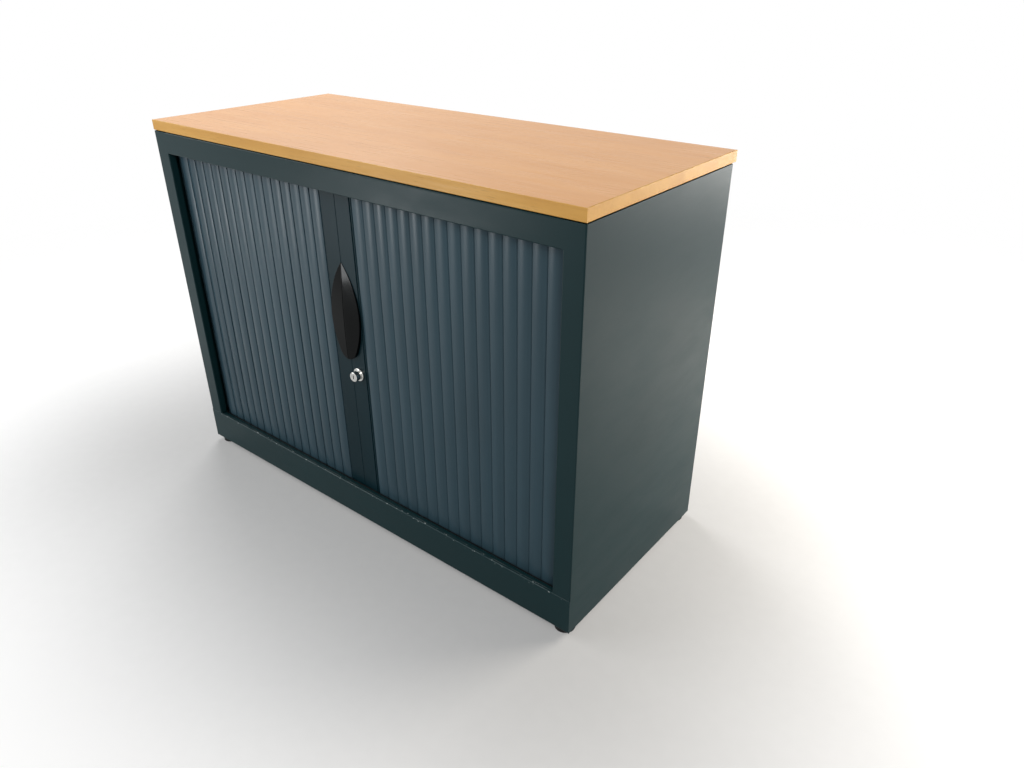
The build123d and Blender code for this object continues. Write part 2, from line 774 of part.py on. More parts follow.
with BuildPart() as foot_brackets:
    with BuildSketch(Plane.XY.offset(bracket_underside)):
        for bracket_y in (bracket_front_y, bracket_rear_y):
            with Locations((bracket_middle_x, bracket_y), (-bracket_middle_x, bracket_y)):
                RectangleRounded(bracket_size, bracket_size, bracket_wall)
    extrude(amount=bracket_height)
    with BuildSketch(Plane.XY.offset(bracket_underside + bracket_wall)):
        for bracket_y in (bracket_front_y, bracket_rear_y):
            with Locations((bracket_middle_x, bracket_y), (-bracket_middle_x, bracket_y)):
                Rectangle(bracket_size - 2 * bracket_wall, bracket_size - 2 * bracket_wall)
    extrude(amount=bracket_height, mode=Mode.SUBTRACT)
    with BuildSketch(Plane.XY.offset(bracket_underside)):
        for glide_y in (glide_front, glide_rear):
            with Locations((glide_x, glide_y), (-glide_x, glide_y)):
                Circle(weld_nut_radius)
    extrude(amount=weld_nut_height)
    with BuildSketch(Plane.XY.offset(bracket_underside)):
        for glide_y in (glide_front, glide_rear):
            with Locations((glide_x, glide_y), (-glide_x, glide_y)):
                Circle(stem_radius + stem_play)
    extrude(amount=weld_nut_height, mode=Mode.SUBTRACT)


def glide(x, y):
    """A glide with its threaded stem, at one corner of the case."""
    with BuildPart(mode=Mode.PRIVATE) as foot:
        with BuildSketch(Plane.XY):
            with Locations((x, y)):
                Circle(glide_radius)
        extrude(amount=glide_height)
        fillet(foot.edges().filter_by(GeomType.CIRCLE), glide_edge)
        with BuildSketch(Plane.XY.offset(glide_height)):
            with Locations((x, y)):
                Circle(stem_radius)
        extrude(amount=stem_length)
    return foot.part


with BuildPart() as front_left_glide:
    add(glide(-glide_x, glide_front))

with BuildPart() as front_right_glide:
    add(glide(glide_x, glide_front))

with BuildPart() as rear_left_glide:
    add(glide(-glide_x, glide_rear))

with BuildPart() as rear_right_glide:
    add(glide(glide_x, glide_rear))

# ---------------------------------------------------------------- case screws
with BuildPart() as board_screws:
    with BuildSketch(Plane.XY.offset(steel_top)):
        with board_screw_spots:
            Circle(screw_radius)
    extrude(amount=board_screw_length)
    with BuildSketch(Plane.XY.offset(steel_top)):
        with board_screw_spots:
            Circle(screw_head_radius)
    extrude(amount=-screw_head_height)

with BuildPart() as back_screws:
    with BuildSketch(Plane.XZ.offset(-rear)):
        with Locations(back_screw_spots):
            Circle(screw_radius)
    extrude(amount=back_screw_length)
    with BuildSketch(Plane.XZ.offset(-rear)):
        with Locations(back_screw_spots):
            Circle(screw_head_radius)
    extrude(amount=-screw_head_height)
    fillet(back_screws.faces().group_by(Axis.Y)[-1].edges(), screw_head_height / 2)

# ---------------------------------------------------------------- labels and files
top_board.part.label = "top_board"
export_step(top_board.part, "parts/top_board.step")
board_edging.part.label = "board_edging"
export_step(board_edging.part, "parts/board_edging.step")
right_side_panel.part.label = "right_side_panel"
export_step(right_side_panel.part, "parts/right_side_panel.step")
left_side_panel.part.label = "left_side_panel"
export_step(left_side_panel.part, "parts/left_side_panel.step")
top_rail.part.label = "top_rail"
export_step(top_rail.part, "parts/top_rail.step")
plinth.part.label = "plinth"
export_step(plinth.part, "parts/plinth.step")
back_panel.part.label = "back_panel"
export_step(back_panel.part, "parts/back_panel.step")
top_plate.part.label = "top_plate"
export_step(top_plate.part, "parts/top_plate.step")
base_deck.part.label = "base_deck"
export_step(base_deck.part, "parts/base_deck.step")
ceiling_deck.part.label = "ceiling_deck"
export_step(ceiling_deck.part, "parts/ceiling_deck.step")
floor_pan.part.label = "floor_pan"
export_step(floor_pan.part, "parts/floor_pan.step")
right_liner.part.label = "right_liner"
export_step(right_liner.part, "parts/right_liner.step")
left_liner.part.label = "left_liner"
export_step(left_liner.part, "parts/left_liner.step")
inner_back_panel.part.label = "inner_back_panel"
export_step(inner_back_panel.part, "parts/inner_back_panel.step")
shelf.part.label = "shelf"
export_step(shelf.part, "parts/shelf.step")
shelf_clips.part.label = "shelf_clips"
export_step(shelf_clips.part, "parts/shelf_clips.step")
front_tracks.part.label = "front_tracks"
export_step(front_tracks.part, "parts/front_tracks.step")
front_corner_guides.part.label = "front_corner_guides"
export_step(front_corner_guides.part, "parts/front_corner_guides.step")
side_tracks.part.label = "side_tracks"
export_step(side_tracks.part, "parts/side_tracks.step")
rear_corner_guides.part.label = "rear_corner_guides"
export_step(rear_corner_guides.part, "parts/rear_corner_guides.step")
right_curtain.part.label = "right_curtain"
export_step(right_curtain.part, "parts/right_curtain.step")
left_curtain.part.label = "left_curtain"
export_step(left_curtain.part, "parts/left_curtain.step")
right_curtain_tail.part.label = "right_curtain_tail"
export_step(right_curtain_tail.part, "parts/right_curtain_tail.step")
left_curtain_tail.part.label = "left_curtain_tail"
export_step(left_curtain_tail.part, "parts/left_curtain_tail.step")
right_lath.part.label = "right_lath"
export_step(right_lath.part, "parts/right_lath.step")
left_lath.part.label = "left_lath"
export_step(left_lath.part, "parts/left_lath.step")
right_handle.part.label = "right_handle"
export_step(right_handle.part, "parts/right_handle.step")
left_handle.part.label = "left_handle"
export_step(left_handle.part, "parts/left_handle.step")
right_handle_screws.part.label = "right_handle_screws"
export_step(right_handle_screws.part, "parts/right_handle_screws.step")
left_handle_screws.part.label = "left_handle_screws"
export_step(left_handle_screws.part, "parts/left_handle_screws.step")
lock_collar.part.label = "lock_collar"
export_step(lock_collar.part, "parts/lock_collar.step")
lock_nut.part.label = "lock_nut"
export_step(lock_nut.part, "parts/lock_nut.step")
lock_plunger.part.label = "lock_plunger"
export_step(lock_plunger.part, "parts/lock_plunger.step")
lock_plug.part.label = "lock_plug"
export_step(lock_plug.part, "parts/lock_plug.step")
keeper.part.label = "keeper"
export_step(keeper.part, "parts/keeper.step")
keeper_screws.part.label = "keeper_screws"
export_step(keeper_screws.part, "parts/keeper_screws.step")
foot_brackets.part.label = "foot_brackets"
export_step(foot_brackets.part, "parts/foot_brackets.step")
front_left_glide.part.label = "front_left_glide"
export_step(front_left_glide.part, "parts/front_left_glide.step")
front_right_glide.part.label = "front_right_glide"
export_step(front_right_glide.part, "parts/front_right_glide.step")
rear_left_glide.part.label = "rear_left_glide"
export_step(rear_left_glide.part, "parts/rear_left_glide.step")
rear_right_glide.part.label = "rear_right_glide"
export_step(rear_right_glide.part, "parts/rear_right_glide.step")
board_screws.part.label = "board_screws"
export_step(board_screws.part, "parts/board_screws.step")
back_screws.part.label = "back_screws"
export_step(back_screws.part, "parts/back_screws.step")
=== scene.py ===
from math import atan2, cos, pi, radians, sin, sqrt

import bmesh
import bpy
import numpy as np
from bpy.props import FloatProperty, FloatVectorProperty, IntProperty, PointerProperty
from mathutils import Euler, Matrix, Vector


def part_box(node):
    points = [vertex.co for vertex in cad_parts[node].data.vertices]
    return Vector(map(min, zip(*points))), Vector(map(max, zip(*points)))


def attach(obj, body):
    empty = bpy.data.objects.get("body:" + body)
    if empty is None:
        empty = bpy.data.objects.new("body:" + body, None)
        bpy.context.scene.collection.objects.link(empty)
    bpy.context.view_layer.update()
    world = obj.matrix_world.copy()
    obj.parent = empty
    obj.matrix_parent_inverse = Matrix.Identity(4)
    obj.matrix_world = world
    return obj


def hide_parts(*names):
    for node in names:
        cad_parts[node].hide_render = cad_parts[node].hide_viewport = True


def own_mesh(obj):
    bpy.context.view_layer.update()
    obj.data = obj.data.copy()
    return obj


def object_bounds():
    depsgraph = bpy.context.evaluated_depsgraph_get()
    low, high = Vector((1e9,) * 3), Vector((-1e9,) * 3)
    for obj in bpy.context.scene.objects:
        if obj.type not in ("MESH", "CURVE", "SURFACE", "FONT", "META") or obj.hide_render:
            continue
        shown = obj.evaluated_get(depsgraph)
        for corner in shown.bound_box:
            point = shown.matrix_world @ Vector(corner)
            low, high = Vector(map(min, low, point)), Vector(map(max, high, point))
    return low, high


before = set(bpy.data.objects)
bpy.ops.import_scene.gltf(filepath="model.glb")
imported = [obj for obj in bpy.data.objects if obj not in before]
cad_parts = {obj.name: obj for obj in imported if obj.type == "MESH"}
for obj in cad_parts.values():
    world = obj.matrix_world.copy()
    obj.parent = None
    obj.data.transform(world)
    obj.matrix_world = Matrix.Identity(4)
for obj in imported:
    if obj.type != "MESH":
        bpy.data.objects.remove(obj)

bl_info = {
    "name": "Roll front cabinet dresser",
    "version": (1, 0, 0),
    "blender": (4, 5, 0),
    "location": "3D View > Sidebar > Cabinet",
    "description": "Builds the slatted fronts and grips of a low cabinet and finishes its parts",
    "category": "Object",
}

CAD_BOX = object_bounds()
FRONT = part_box("plinth")[0].y
LEDGE_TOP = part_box("plinth")[1].z
LATH_LOW, LATH_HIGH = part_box("right_lath")
HINGE_Y = (LATH_LOW.y + LATH_HIGH.y) / 2
GRIP_LOW, GRIP_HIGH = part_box("right_handle")
SIDES = {"right": 1, "left": -1}
BOW_SEEDS = {"right": 8, "left": 6}
BOWED_LEVELS, STRAIGHT_LEVELS = 17, 2  # rings of points up a slat


# ---------------------------------------------------------------- sizes and colours
def length(name, description, default):
    """A size property in metres."""
    return FloatProperty(
        name=name, description=description, default=default, min=0.0, unit="LENGTH", precision=5
    )


def colour(name, description, default):
    """A colour property, written as linear red, green and blue."""
    return FloatVectorProperty(
        name=name, description=description, default=default, min=0.0, max=1.0, size=3,
        subtype="COLOR",
    )


class CabinetSizes(bpy.types.PropertyGroup):
    """Sizes of the pieces that are built here."""

    slat_pitch: length("Slat pitch", "From one slat hinge to the next", 0.026)
    slat_rise: length("Slat rise", "Crown of a slat in front of its hinge line", 0.0046)
    slat_wall: length("Slat wall", "Thickness of a slat", 0.002)
    slat_nose: length("Slat nose", "Rounding of a slat's open edge", 0.0006)
    bead_radius: length("Bead radius", "Round edge that turns in the next slat", 0.0016)
    neck: length("Neck", "Thickness between a bead and its slat", 0.0014)
    socket_inner: length("Socket radius", "Inside of the socket round a bead", 0.0019)
    socket_outer: length("Socket outer radius", "Outside of the socket", 0.0031)
    slat_start: length("Slat start", "From a bead's axis to its slat's wall", 0.0035)
    slat_bow: length("Slat bow", "Most that a slat bows between its ends", 0.00035)
    corner_slats: IntProperty(name="Corner slats", description="Slats round a corner", default=2)
    tail_slats: IntProperty(name="Tail slats", description="Slats past a corner", default=2)
    grip_length: length("Grip length", "Height of the leaf-shaped grip", 0.180)
    grip_half_width: length("Half grip width", "Width of one half of the grip", 0.036)
    grip_end: length("Grip end radius", "Rounding of the grip's lower end", 0.022)
    grip_rise: length("Grip rise", "Crest of the grip in front of the lath", 0.0065)
    grip_rim: length("Grip rim", "Height of the grip's outer rim", 0.0034)
    grip_lean: length("Grip lean", "How much further the lower end stands out", 0.0028)
    grip_edge: length("Grip edge", "Rounding of the grip's edges", 0.0007)


class CabinetColours(bpy.types.PropertyGroup):
    """Base colours of the finishes."""

    paint: colour("Case paint", "Anthracite paint on the steel", (0.0060, 0.027, 0.031))
    inside: colour("Inside paint", "Paint on the lining and the shelf", (0.045, 0.060, 0.066))
    wear_and_highlight: colour("Worn paint", "Where paint is rubbed thin or chipped", (0.22, 0.25, 0.25))
    slat: colour("Slats", "Plastic of the slats", (0.032, 0.066, 0.087))
    lath: colour("Laths", "Plastic of the two closing laths", (0.0042, 0.020, 0.027))
    grip: colour("Grip", "Plastic of the grip", (0.0005, 0.0012, 0.0014))
    chrome: colour("Chrome", "Plated lock", (0.62, 0.62, 0.60))
    zinc: colour("Zinc", "Plated steel fittings", (0.46, 0.47, 0.46))
    black: colour("Black plastic", "Tracks and glides", (0.004, 0.0045, 0.005))
    wood: colour("Wood", "Top of the board", (0.86, 0.43, 0.142))
    wood_dark: colour("Wood figure", "Darker figure in the board", (0.78, 0.362, 0.108))
    edging: colour("Edging", "Edges of the board", (0.78, 0.43, 0.105))
    edging_dark: colour("Edging figure", "Darker figure in the edging", (0.68, 0.34, 0.070))
    floor: colour("Floor", "Pale floor", (0.45, 0.45, 0.45))


# ---------------------------------------------------------------- shapes
def arc(centre, radius, start, end, count):
    """Points on a circle: centre plus radius times the cosine and sine of evenly spaced angles."""
    angle = np.radians(np.linspace(start, end, count))
    return np.stack([centre[0] + radius * np.cos(angle), centre[1] + radius * np.sin(angle)], 1)


def bow(first, last, sagitta, count):
    """Points on a shallow arc: the chord plus four times sagitta times t times one minus t."""
    t = np.linspace(0, 1, count)[:, None]
    chord = np.array(first) + (np.array(last) - np.array(first)) * t
    return chord + np.array([0, 1]) * 4 * sagitta * t * (1 - t)


def slat_outline(sizes):
    """A slat's closed section, as (along the row, towards the front).

    It runs round the bead, back along the neck and the hollow side of the wall, round the
    socket's open ring and over the crowned front. The bead sits at the origin and the socket
    one pitch away.
    """
    pitch, half_neck = sizes.slat_pitch, sizes.neck / 2
    ring, wall_end = (pitch, 0), sizes.slat_start + sizes.slat_wall
    hollow = sizes.socket_outer - sizes.slat_wall
    bead_angle = np.degrees(np.arcsin(half_neck / sizes.bead_radius))
    rise = sizes.slat_rise - sizes.socket_outer
    ring_back = 180 - np.degrees(np.arcsin(hollow / sizes.socket_outer))
    ring_foot = pitch - sqrt(sizes.socket_outer**2 - hollow**2)
    nose = sizes.slat_nose
    nose_centre = (sizes.slat_start + nose, sizes.socket_outer - nose)
    mouth_back, mouth_front = 285, 30
    return np.concatenate([
        arc((0, 0), sizes.bead_radius, bead_angle, 360 - bead_angle, 14),
        [(wall_end, -half_neck)],
        bow((wall_end, hollow), (ring_foot, hollow), rise, 12),
        arc(ring, sizes.socket_outer, ring_back, mouth_back, 10)[1:],
        arc(ring, sizes.socket_inner, mouth_back, mouth_front, 14),
        arc(ring, sizes.socket_outer, mouth_front, 90, 6),
        bow((pitch, sizes.socket_outer), (nose_centre[0], sizes.socket_outer), rise, 20)[1:-1],
        arc(nose_centre, nose, 90, 180, 5),
        [(sizes.slat_start, half_neck)],
    ])


def standing_row(outline, places, bows, low, high, levels, side):
    """Upright slats from one section: points and faces.

    A slat's place is its hinge's x and y and the direction of its row. A point of the section
    goes to x plus along times the direction plus forward times its normal. Up the slat, the
    section moves forward by the slat's bow times the sine of half a turn from end to end.
    """
    rise = np.linspace(0, 1, levels)
    x, y, turned = np.array(places).T[:, :, None, None]
    along = outline[None, None, :, 0]
    forward = outline[None, None, :, 1] + np.array(bows)[:, None, None] * np.sin(pi * rise)[:, None]
    points = np.stack(
        [
            side * (x + along * np.cos(turned) + forward * np.sin(turned)),
            y + along * np.sin(turned) - forward * np.cos(turned),
            np.broadcast_to((low + (high - low) * rise)[None, :, None], forward.shape),
        ],
        axis=-1,
    )
    slats, count = len(places), len(outline)
    index = np.arange(slats * levels * count).reshape(slats, levels, count)
    following = np.roll(index, -1, axis=2)
    quads = np.stack([index[:, :-1], following[:, :-1], following[:, 1:], index[:, 1:]], -1)
    caps = [*index[:, 0, ::-1].tolist(), *index[:, -1].tolist()]
    return points.reshape(-1, 3), quads.reshape(-1, 4).tolist() + caps


def piece(name, points, faces, crease=35, merge=0.0):
    """A mesh object at the origin with outward faces, smooth but for edges over crease degrees."""
    mesh = bpy.data.meshes.new(name)
    mesh.from_pydata(np.asarray(points).tolist(), [], faces)
    work = bmesh.new()
    work.from_mesh(mesh)
    if merge:
        bmesh.ops.remove_doubles(work, verts=work.verts, dist=merge)
        bmesh.ops.dissolve_degenerate(work, edges=work.edges, dist=merge / 2)
    bmesh.ops.recalc_face_normals(work, faces=work.faces)
    work.to_mesh(mesh)
    work.free()
    mesh.shade_smooth()
    mesh.set_sharp_from_angle(angle=radians(crease))
    thing = bpy.data.objects.new(name, mesh)
    bpy.context.scene.collection.objects.link(thing)
    return thing


def half_grip(sizes, side):
    """One half of the grip: points and faces of a closed shell.

    Seen from the front, an arc of radius R about a centre left of the seam runs from the tip
    into the circle of the lower end. With p the half width, q what the half width is more than
    the end radius e, and S the length less e, the centre lies e and w above the lower end,
    where w is the positive root of w squared times e / q, plus 2 S w, plus p e, less S squared.
    R is half of w squared / q, plus e, plus p. The height over the lath falls from rise at the
    seam to rim at the arc with the distance from that centre, and the lean adds to it towards
    the lower end. Each row at one height is a loop: up the seam face, over a rounded crest,
    down the face, over a rounded rim and back along the lath.
    """
    rows_up, edge_steps, face_steps = 141, 6, 26
    tall, p, end = sizes.grip_length, sizes.grip_half_width, sizes.grip_end
    seam, bottom = GRIP_LOW.x, (GRIP_LOW.z + GRIP_HIGH.z - tall) / 2
    q, span = p - end, tall - end
    w = (sqrt(span**2 + end / q * (span**2 - p * end)) - span) * q / end
    radius = (w**2 / q + end + p) / 2
    centre, widest = p - radius, bottom + end + w
    joint = widest - w * radius / (radius - end)
    low = bottom + end - sqrt(end**2 - seam**2)
    high = widest + sqrt(radius**2 - (seam - centre) ** 2)
    swing = np.sin(np.linspace(-pi / 2, pi / 2, rows_up))[:, None]
    z = (low + high) / 2 + (high - low) / 2 * swing
    arc_x = centre + np.sqrt(np.maximum(radius**2 - (z - widest) ** 2, 0))
    end_x = np.sqrt(np.maximum(end**2 - (z - bottom - end) ** 2, 0))
    outline = np.maximum(np.where(z < joint, end_x, arc_x), seam)
    width = outline - seam

    def height(x):
        """Height of the face over the lath at x, for each row."""
        t = (np.sqrt((x - centre) ** 2 + (z - widest) ** 2) + centre) / p
        lean = sizes.grip_lean * (bottom + tall / 2 - z) / (tall / 2)
        return sizes.grip_rise + (sizes.grip_rim - sizes.grip_rise) * t + lean

    edge = np.minimum(sizes.grip_edge, np.minimum(width, height(outline)) / 3)
    turn = np.radians(np.linspace(180, 90, edge_steps))[None, :]
    crest_x = seam + edge + edge * np.cos(turn)
    crest_up = height(seam + edge) - edge + edge * np.sin(turn)
    across = np.linspace(0, 1, face_steps)[None, 1:-1]
    face_x = seam + edge + (width - 2 * edge) * across
    rim_x = outline - edge - edge * np.cos(turn[:, ::-1])
    rim_up = height(outline - edge) - edge + edge * np.sin(turn[:, ::-1])
    flat = np.zeros_like(outline)
    x = np.concatenate([flat + seam, crest_x, face_x, rim_x, outline], axis=1)
    up = np.concatenate([flat, crest_up, height(face_x), rim_up, flat], axis=1)
    points = np.stack([side * x, LATH_LOW.y - up, np.broadcast_to(z, x.shape)], axis=-1)
    rows, count = x.shape
    index = np.arange(rows * count).reshape(rows, count)
    following = np.roll(index, -1, axis=1)
    quads = np.stack([index[:-1], following[:-1], following[1:], index[1:]], -1)
    return points.reshape(-1, 3), quads.reshape(-1, 4).tolist()


# ---------------------------------------------------------------- material recipes
class Recipe:
    """A material's node tree, built in short steps from the piece's own Object coordinates."""

    def __init__(self, name):
        self.material = bpy.data.materials.new(name)
        self.material.use_nodes = True
        self.tree = self.material.node_tree
        self.shader = self.tree.nodes["Principled BSDF"]
        self.place = self.node("ShaderNodeTexCoord").outputs["Object"]
        split = self.node("ShaderNodeSeparateXYZ", {"Vector": self.place})
        self.x, self.y, self.z = split.outputs

    def node(self, kind, inputs=None, **settings):
        """Add a node. An input takes a constant or another node's output."""
        made = self.tree.nodes.new(kind)
        for key, value in settings.items():
            setattr(made, key, value)
        for key, value in (inputs or {}).items():
            if isinstance(value, bpy.types.NodeSocket):
                self.tree.links.new(value, made.inputs[key])
            else:
                made.inputs[key].default_value = value
        return made

    def maths(self, operation, first, second=0.0, third=0.0):
        """One arithmetic operation on numbers or outputs."""
        inputs = {0: first, 1: second, 2: third}
        return self.node("ShaderNodeMath", inputs, operation=operation).outputs[0]

    def stretched(self, scale):
        """Object coordinates times a scale for each axis."""
        return self.node(
            "ShaderNodeVectorMath", {0: self.place, 1: scale}, operation="MULTIPLY"
        ).outputs[0]

    def noise(self, scale, detail=2.0, roughness=0.5, distortion=0.0):
        """Noise from 0 to 1. The scale is in features for each metre along X, Y and Z."""
        inputs = {
            "Vector": self.stretched(scale), "Scale": 1.0, "Detail": detail,
            "Roughness": roughness, "Distortion": distortion,
        }
        return self.node("ShaderNodeTexNoise", inputs).outputs["Fac"]

    def between(self, value, low, high, to_low=0.0, to_high=1.0):
        """Value from low to high, smoothly carried to the range to_low to to_high."""
        inputs = {
            "Value": value, "From Min": low, "From Max": high, "To Min": to_low, "To Max": to_high
        }
        made = self.node("ShaderNodeMapRange", inputs, interpolation_type="SMOOTHSTEP")
        return made.outputs["Result"]

    def mix(self, factor, first, second):
        """Mix two colours."""
        inputs = {0: factor, 6: opaque(first), 7: opaque(second)}
        return self.node("ShaderNodeMix", inputs, data_type="RGBA").outputs[2]

    def bump(self, height, distance, under=None):
        """Bump of the given depth in metres, over another bump if one is given."""
        inputs = {"Height": height, "Distance": distance, "Strength": 1.0}
        if under is not None:
            inputs["Normal"] = under
        return self.node("ShaderNodeBump", inputs).outputs["Normal"]

    def near_line(self, first, first_at, second, second_at, reach):
        """From 1 on the line where two coordinates have these values to 0 at reach from it."""
        one = self.maths("SUBTRACT", first, first_at)
        other = self.maths("SUBTRACT", second, second_at)
        squares = self.maths("MULTIPLY_ADD", one, one, self.maths("MULTIPLY", other, other))
        return self.between(self.maths("SQRT", squares), 0, reach, 1, 0)

    def finish(self, **sockets):
        """Set the shader's sockets, with _ for a space, and return the material."""
        for key, value in sockets.items():
            socket = self.shader.inputs[key.replace("_", " ")]
            if isinstance(value, bpy.types.NodeSocket):
                self.tree.links.new(value, socket)
            else:
                socket.default_value = opaque(value) if socket.type == "RGBA" else value
        return self.material


def opaque(value):
    """A colour of three numbers with an alpha of 1. A socket passes through."""
    if isinstance(value, (bpy.types.NodeSocket, float, int)):
        return value
    return (*value, 1.0) if len(value) == 3 else tuple(value)


def shade(base, factor):
    """A colour made darker or lighter by a factor."""
    return tuple(min(1.0, channel * factor) for channel in base)


def painted_steel(name, base, wear_and_highlight, ledge_wear_and_highlights=False):
    """Satin powder paint: orange peel, slow waves of the sheet, faint dust and rubbed places.

    Ledge wear and highlights add a rubbed line of lighter paint along the front edge of the bottom
    rail's ledge, which also paints that edge's highlight, a fainter painted highlight behind it,
    and small chips near them.
    """
    recipe = Recipe(name)
    cloud = recipe.noise((2.2, 2.2, 2.2), 3)
    fleck = recipe.noise((1100, 1100, 1100), 1)
    tone = recipe.mix(recipe.between(cloud, 0.3, 0.7), shade(base, 0.93), shade(base, 1.07))
    tone = recipe.mix(recipe.between(fleck, 0.55, 0.8, 0, 0.22), tone, shade(base, 1.7))
    rub = recipe.noise((9, 9, 30), 5, 0.6)
    scuff = recipe.between(recipe.noise((60, 60, 14), 6, 0.65, 0.6), 0.66, 0.78, 0, 0.10)
    tone = recipe.mix(scuff, tone, wear_and_highlight)
    if ledge_wear_and_highlights:
        patchy = recipe.between(recipe.noise((34, 34, 34), 4), 0.36, 0.62, 0.15, 0.85)
        # rubbed line of lighter paint along the ledge's front edge, which also paints that edge's
        # highlight
        line = recipe.near_line(recipe.y, FRONT, recipe.z, LEDGE_TOP, 0.0015)
        tone = recipe.mix(recipe.maths("MULTIPLY", line, patchy), tone, wear_and_highlight)
        # painted highlight: a fainter light line behind the front edge, on the step down to the
        # track
        painted_lip_highlight = recipe.near_line(recipe.y, FRONT + 0.0042, recipe.z, LEDGE_TOP, 0.0011)
        tone = recipe.mix(recipe.maths("MULTIPLY", painted_lip_highlight, patchy), tone, shade(wear_and_highlight, 0.55))
        zone = recipe.near_line(recipe.y, FRONT, recipe.z, LEDGE_TOP, 0.007)
        chip = recipe.between(recipe.noise((150, 260, 260), 2), 0.66, 0.685)
        tone = recipe.mix(recipe.maths("MULTIPLY", zone, chip), tone, shade(wear_and_highlight, 1.8))
    peel = recipe.bump(recipe.noise((620, 620, 620), 1), 0.000035)
    waves = recipe.bump(recipe.noise((3.1, 3.1, 2.3), 1), 0.0012, peel)
    return recipe.finish(
        Base_Color=tone,
        Roughness=recipe.between(rub, 0.25, 0.75, 0.30, 0.38),
        Specular_IOR_Level=0.14,
        Normal=waves,
    )


def drawn_plastic(name, base, roughness=0.30, specular=0.19, pitch=0.0):
    """Extruded plastic: fine drawn lines up the piece, faint cloudiness and dust."""
    recipe = Recipe(name)
    line = recipe.noise((520, 520, 3.0), 2)
    cloud = recipe.noise((7, 7, 2.2), 4, 0.55)
    tone = recipe.mix(recipe.between(cloud, 0.3, 0.7), shade(base, 0.90), shade(base, 1.10))
    tone = recipe.mix(recipe.between(line, 0.35, 0.75, 0, 0.35), tone, shade(base, 1.22))
    if pitch:
        order = recipe.maths("FLOOR", recipe.maths("DIVIDE", recipe.x, pitch))
        batch = recipe.node(
            "ShaderNodeTexWhiteNoise", {"W": order}, noise_dimensions="1D"
        ).outputs["Value"]
        tone = recipe.mix(recipe.maths("MULTIPLY", batch, 0.3), tone, shade(base, 0.82))
    drawn = recipe.bump(line, 0.000012)
    waves = recipe.bump(recipe.noise((26, 26, 4.0), 2), 0.00016, drawn)
    return recipe.finish(
        Base_Color=tone,
        Roughness=recipe.between(cloud, 0.25, 0.75, roughness - 0.04, roughness + 0.07),
        Specular_IOR_Level=specular,
        Normal=waves,
    )


def glossy_grip(name, base):
    """Glossy moulded plastic, with hairline scratches and a little dust in its sheen."""
    recipe = Recipe(name)
    smear = recipe.noise((24, 24, 12), 4, 0.6)
    scratch = recipe.noise((900, 30, 60), 3, 0.6, 0.4)
    tone = recipe.mix(recipe.between(smear, 0.4, 0.8, 0, 0.5), base, shade(base, 2.2))
    gloss = recipe.maths(
        "ADD",
        recipe.between(smear, 0.3, 0.7, 0.07, 0.12),
        recipe.between(scratch, 0.62, 0.72, 0, 0.16),
    )
    return recipe.finish(
        Base_Color=tone,
        Roughness=gloss,
        Specular_IOR_Level=0.06,
        Normal=recipe.bump(scratch, 0.000006),
    )


def grained_plastic(name, base):
    """Matt injection-moulded plastic with a fine spark-eroded grain."""
    recipe = Recipe(name)
    grain = recipe.noise((1500, 1500, 1500), 2)
    cloud = recipe.noise((18, 18, 18), 3)
    tone = recipe.mix(recipe.between(cloud, 0.3, 0.7), base, shade(base, 1.8))
    return recipe.finish(
        Base_Color=tone,
        Roughness=recipe.between(cloud, 0.3, 0.7, 0.5, 0.62),
        Specular_IOR_Level=0.25,
        Normal=recipe.bump(grain, 0.00005),
    )


def plated_metal(name, base, roughness, spangle):
    """Plated metal with a slightly uneven gloss. Spangle adds the patches of zinc plating."""
    recipe = Recipe(name)
    cloud = recipe.noise((90, 90, 90), 4)
    tone = recipe.mix(recipe.between(cloud, 0.3, 0.7), shade(base, 0.88), base)
    if spangle:
        patches = recipe.node(
            "ShaderNodeTexVoronoi", {"Vector": recipe.stretched((140, 140, 140)), "Scale": 1.0}
        ).outputs["Color"]
        grey = recipe.node("ShaderNodeRGBToBW", {"Color": patches}).outputs[0]
        tone = recipe.mix(recipe.between(grey, 0.2, 0.8, 0, spangle), tone, shade(base, 0.72))
    fine = recipe.noise((2200, 2200, 2200), 1)
    return recipe.finish(
        Base_Color=tone,
        Metallic=1.0,
        Roughness=recipe.between(cloud, 0.25, 0.75, roughness, roughness * 1.6),
        Normal=recipe.bump(fine, 0.000004),
    )


def boarded_wood(name, light, dark, figure, pore, gloss):
    """Satin wood surface with its grain along X: slow figure, fine fibres and short pores."""
    recipe = Recipe(name)
    flame = recipe.noise((0.9 * figure, 9 * figure, 9 * figure), 3, 0.55, 1.1)
    fibre = recipe.noise((9, 260, 260), 4, 0.6)
    mottle = recipe.noise((6, 14, 14), 2)
    pores = recipe.noise((38, 900, 900), 2, 0.5)
    tone = recipe.mix(recipe.between(flame, 0.30, 0.72), light, dark)
    tone = recipe.mix(recipe.between(fibre, 0.35, 0.72, 0, 0.26), tone, shade(dark, 0.93))
    tone = recipe.mix(recipe.between(mottle, 0.35, 0.7, 0, 0.35), tone, shade(light, 1.08))
    tone = recipe.mix(recipe.between(pores, 0.60, 0.76, 0, pore), tone, shade(dark, 0.66))
    relief = recipe.bump(pores, 0.00002)
    waves = recipe.bump(recipe.noise((5, 5, 5), 1), 0.0004, relief)
    return recipe.finish(
        Base_Color=tone,
        Roughness=recipe.between(fibre, 0.3, 0.7, gloss - 0.04, gloss + 0.06),
        Specular_IOR_Level=0.22,
        Normal=waves,
    )


# ---------------------------------------------------------------- dressing
def cover(thing, body, slot, material, *nodes):
    """Give a new piece its material and body, and let it stand for CAD nodes. The slot is not used.
    """
    thing.data.materials.clear()
    thing.data.materials.append(material)
    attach(thing, body)
    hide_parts(*nodes)
    return thing


def dress(material, *nodes):
    """Give CAD nodes a material."""
    for name in nodes:
        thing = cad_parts[name]
        thing.data.materials.clear()
        thing.data.materials.append(material)


def row_bows(count, most, seed):
    """A small bow for each slat of a row, the same in every run."""
    return np.random.default_rng(seed).uniform(-most, most, count)


